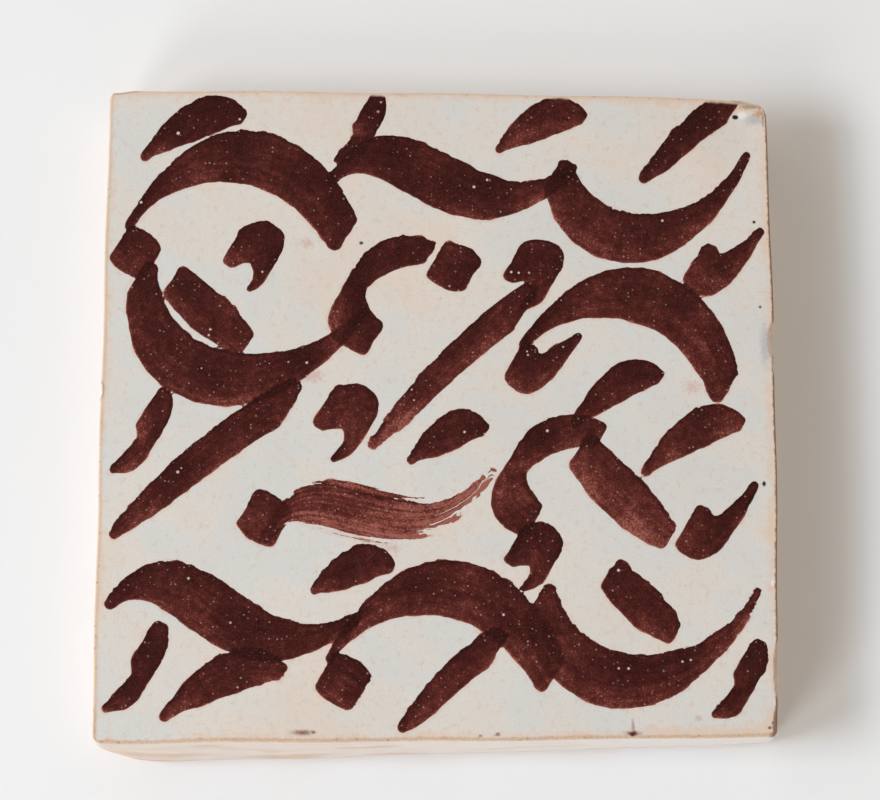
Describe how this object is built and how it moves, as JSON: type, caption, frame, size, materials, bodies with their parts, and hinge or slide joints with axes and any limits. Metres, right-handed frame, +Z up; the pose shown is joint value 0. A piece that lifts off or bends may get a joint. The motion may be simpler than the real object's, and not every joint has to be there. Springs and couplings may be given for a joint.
{
  "type": "calligraphic ceramic tile",
  "caption": "Hand-made square earthenware wall tile lying on its flat back, with a white glazed face, rounded worn edges and rows of painted dark brown brush marks.",
  "frame": {"origin": "Middle of the flat unglazed back, where the tile is bedded on a wall and where it rests on a table.", "axes": "+Z up out of the glazed face, +X to the right of the painting, +Y to the top of the painting."},
  "size_m": [0.1522, 0.1534, 0.019],
  "materials": {
    "glazed_tile": "satin"
  },
  "bodies": {
    "root": {"tile": "glazed_tile"}
  },
  "joints": []
}
